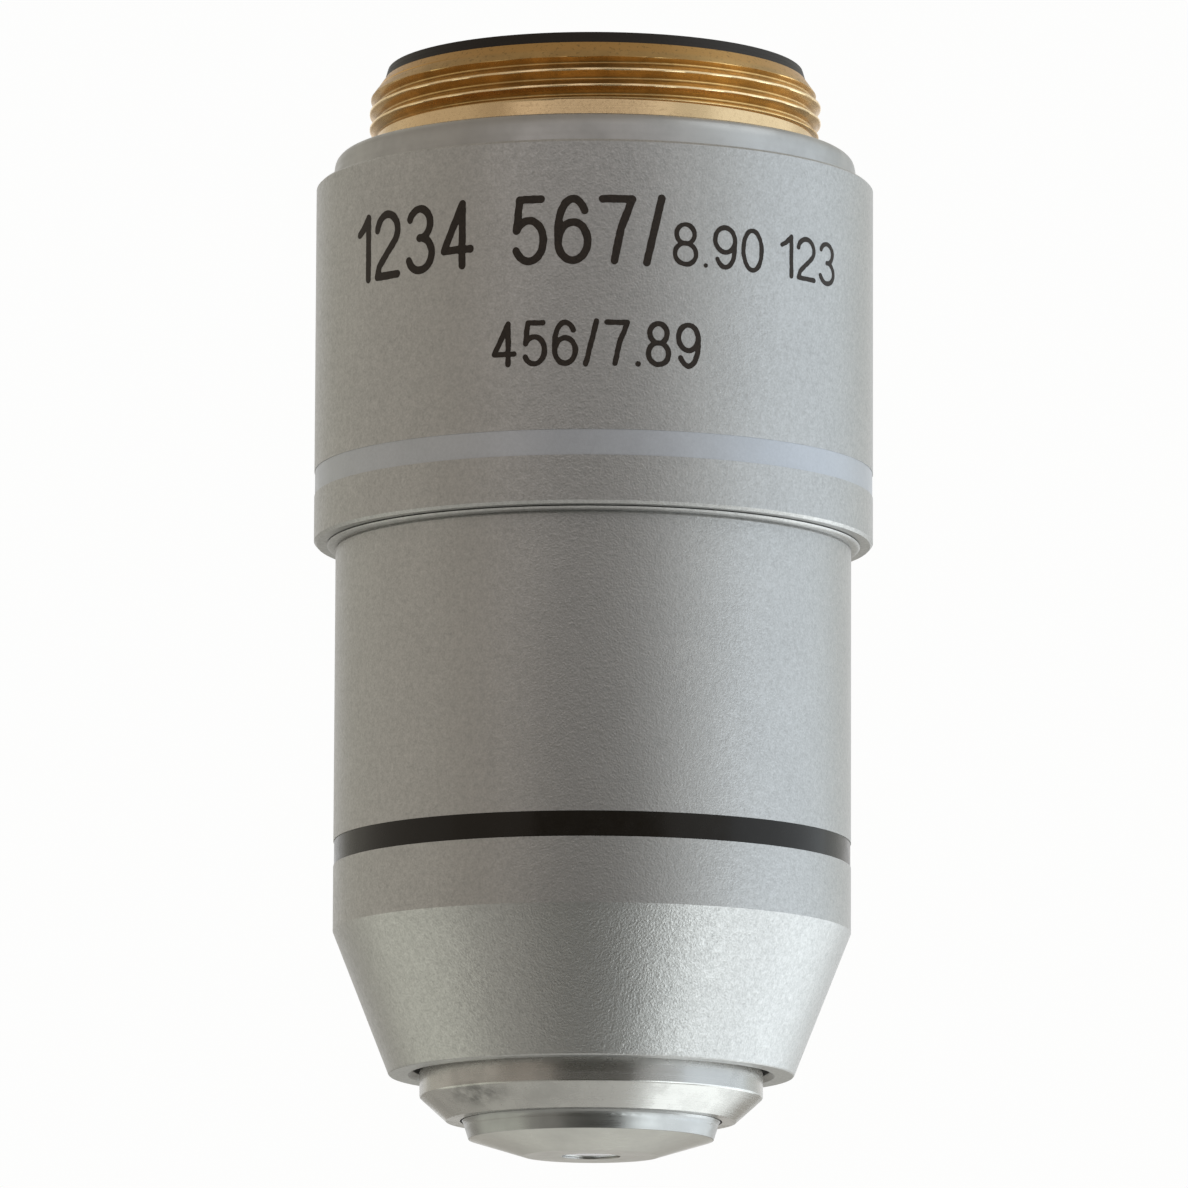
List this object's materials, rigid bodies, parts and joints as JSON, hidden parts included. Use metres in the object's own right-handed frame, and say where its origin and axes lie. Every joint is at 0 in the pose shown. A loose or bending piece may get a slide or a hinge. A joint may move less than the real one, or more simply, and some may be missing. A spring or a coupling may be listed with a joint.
{
  "type": "microscope objective",
  "caption": "Oil-immersion microscope objective with a standard mounting thread, a stepped satin chrome barrel and a spring-loaded nose with a full lens train.",
  "frame": {"origin": "centre of the mounting shoulder, where the optical axis meets the plane that seats on the nosepiece", "axes": "+Z along the optical axis towards the mounting thread, so the front lens points along -Z; +Y is the side of the guide screw, and -Y faces the picture's camera"},
  "size_m": [0.025, 0.025, 0.0487],
  "materials": {
    "bare_brass": "turned brass, lightly tarnished on the thread crests",
    "black_anodised": "matt black anodised",
    "machined_chrome": "brass, machined smooth and chrome plated",
    "satin_chrome": "brass, fine blasted and satin chrome plated",
    "white_enamel": "pale blue-white enamel, semi-gloss",
    "black_enamel": "black enamel, gloss",
    "inner_brass": "turned brass",
    "blackened_brass": "chemically blackened, matt",
    "steel": "plain steel",
    "spring_steel": "drawn spring wire",
    "nose_chrome": "brass, fine turned and bright chrome plated",
    "optical_glass": "polished optical glass"
  },
  "bodies": {
    "housing": {"thread_ring": "bare_brass", "rear_stop_ring": "black_anodised", "spring_seat_ring": "blackened_brass", "main_body": "machined_chrome", "upper_sleeve": "satin_chrome", "white_band": "white_enamel", "lower_sleeve": "satin_chrome", "black_band": "black_enamel", "parfocal_shim": "inner_brass", "guide_screw": "steel", "return_spring": "spring_steel"},
    "nose": {"front_cell": "nose_chrome", "front_lens": "optical_glass", "meniscus_cell": "blackened_brass", "meniscus_lens": "optical_glass", "front_lock_ring": "blackened_brass", "nose_cap": "nose_chrome", "lens_barrel": "inner_brass", "lower_doublet_cell": "blackened_brass", "lower_doublet_crown": "optical_glass", "lower_doublet_flint": "optical_glass", "lower_spacer": "blackened_brass", "upper_doublet_cell": "blackened_brass", "upper_doublet_crown": "optical_glass", "upper_doublet_flint": "optical_glass", "middle_spacer": "blackened_brass", "pupil_stop": "blackened_brass", "upper_spacer": "blackened_brass", "rear_doublet_cell": "blackened_brass", "rear_doublet_crown": "optical_glass", "rear_doublet_flint": "optical_glass", "lens_retaining_ring": "blackened_brass", "centring_screws": "steel"}
  },
  "joints": [
    {"name": "nose_retract", "type": "slide", "parent": "housing", "child": "nose", "axis": [0, 0, 1], "range_m": [0, 0.002], "stiffness_N_per_m": 600, "springref_m": -0.003, "deforming": ["return_spring"]}
  ]
}
